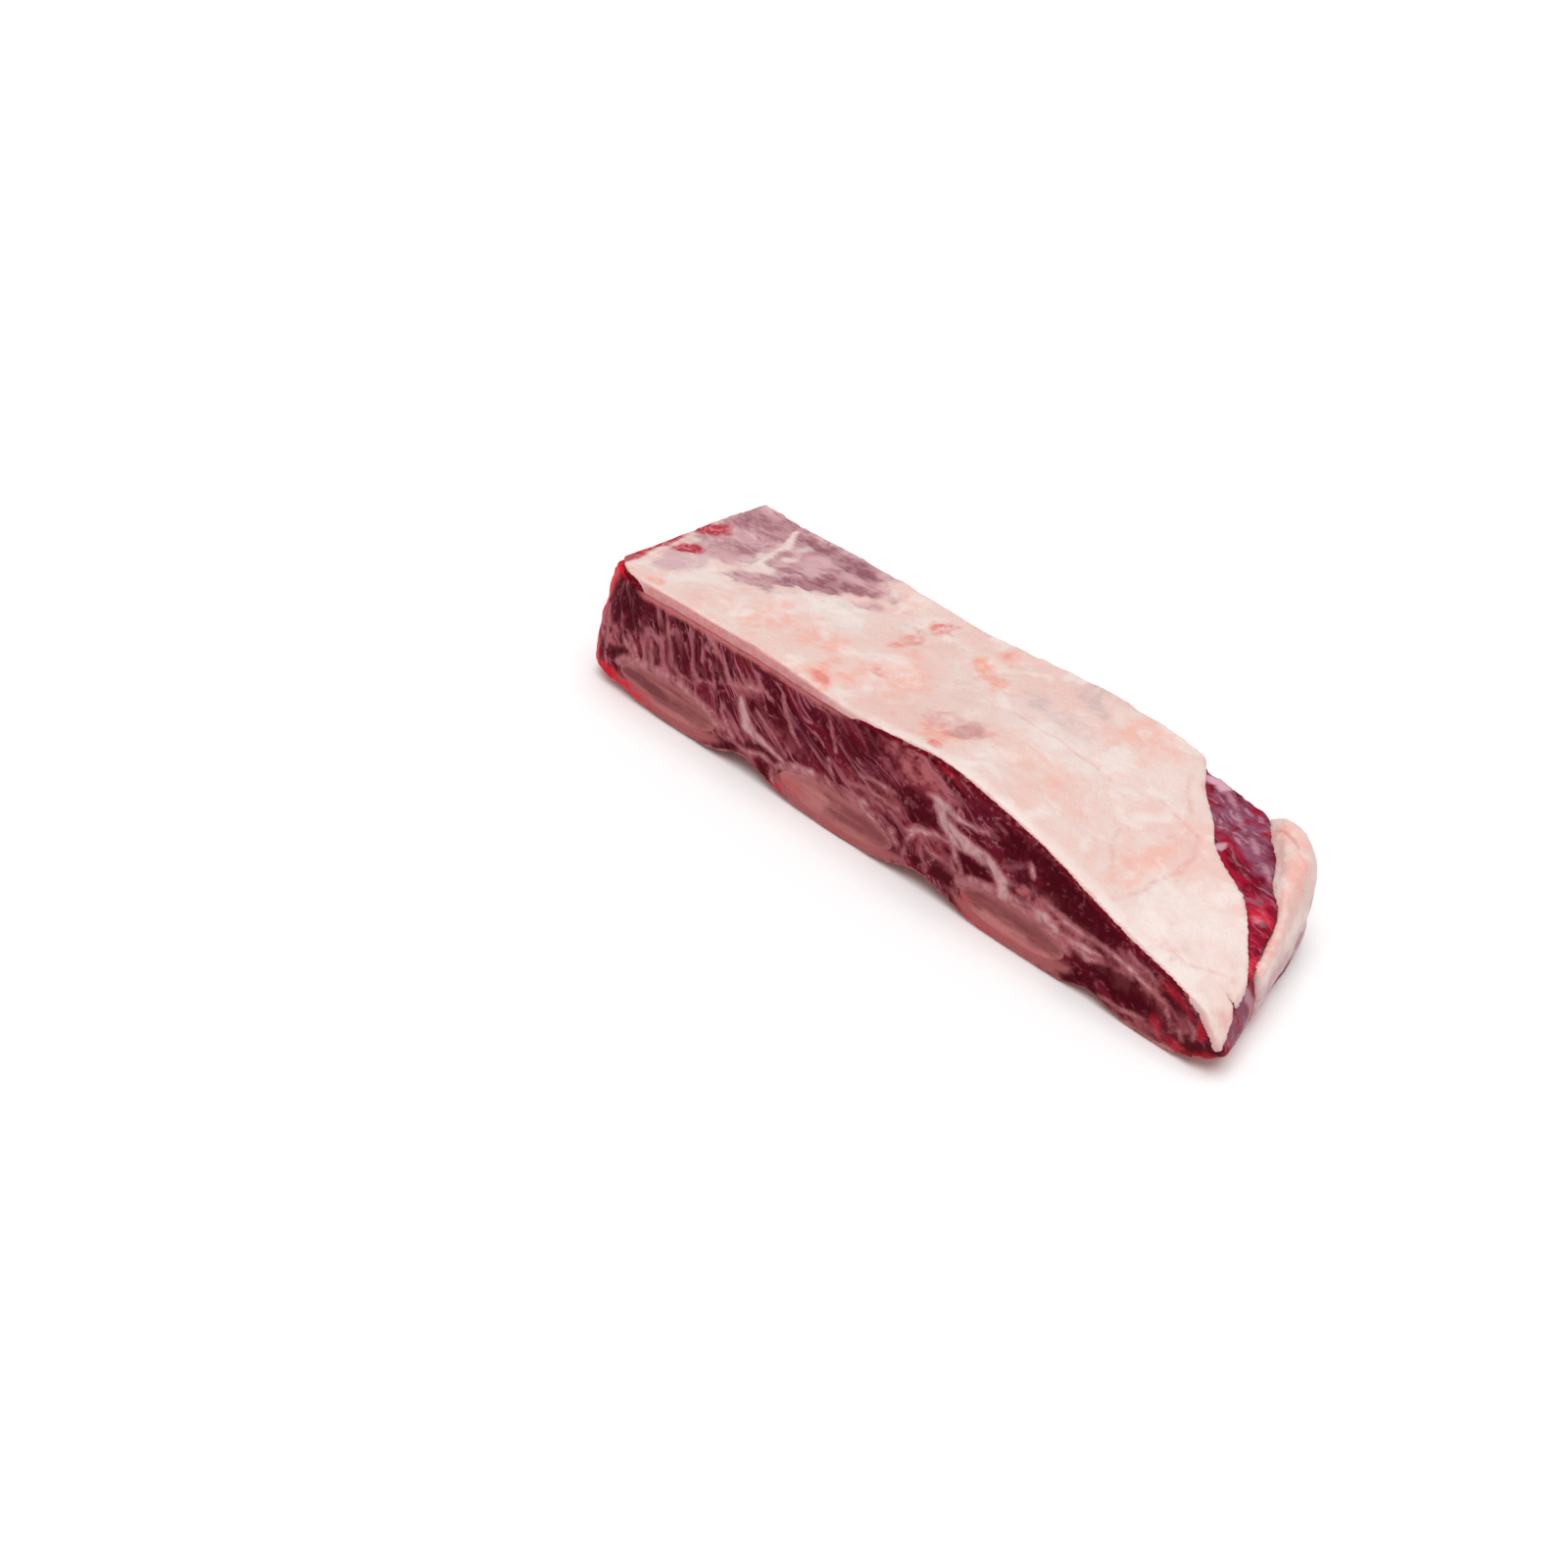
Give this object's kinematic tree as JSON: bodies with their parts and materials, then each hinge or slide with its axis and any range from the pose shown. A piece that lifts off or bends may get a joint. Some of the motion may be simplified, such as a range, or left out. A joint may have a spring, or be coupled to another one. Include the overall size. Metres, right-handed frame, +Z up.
{
  "type": "raw beef short ribs",
  "caption": "Raw beef short rib slab sawn across the ribs: marbled lean, cream fat cap that ends on a slanting seam, and flat rib bones along the underside.",
  "frame": {"origin": "middle of the bounding box in plan, on the board the slab lies on", "axes": "+X along the slab from its square end to its slanting end, +Y from the sawn face that the picture shows towards the one at the back, +Z up, fat side up"},
  "size_m": [0.204, 0.0568, 0.0377],
  "materials": {
    "lean": "dark crimson raw lean with pale marbling, moist satin",
    "fat": "cream to pink raw fat, softly moist",
    "bone": "sawn pinkish brown bone with a paler outer line"
  },
  "bodies": {
    "root": {"lean_meat": "lean", "fat_cap": "fat", "end_fat": "fat", "rib_bone_left": "bone", "rib_bone_middle": "bone", "rib_bone_right": "bone"}
  },
  "joints": []
}
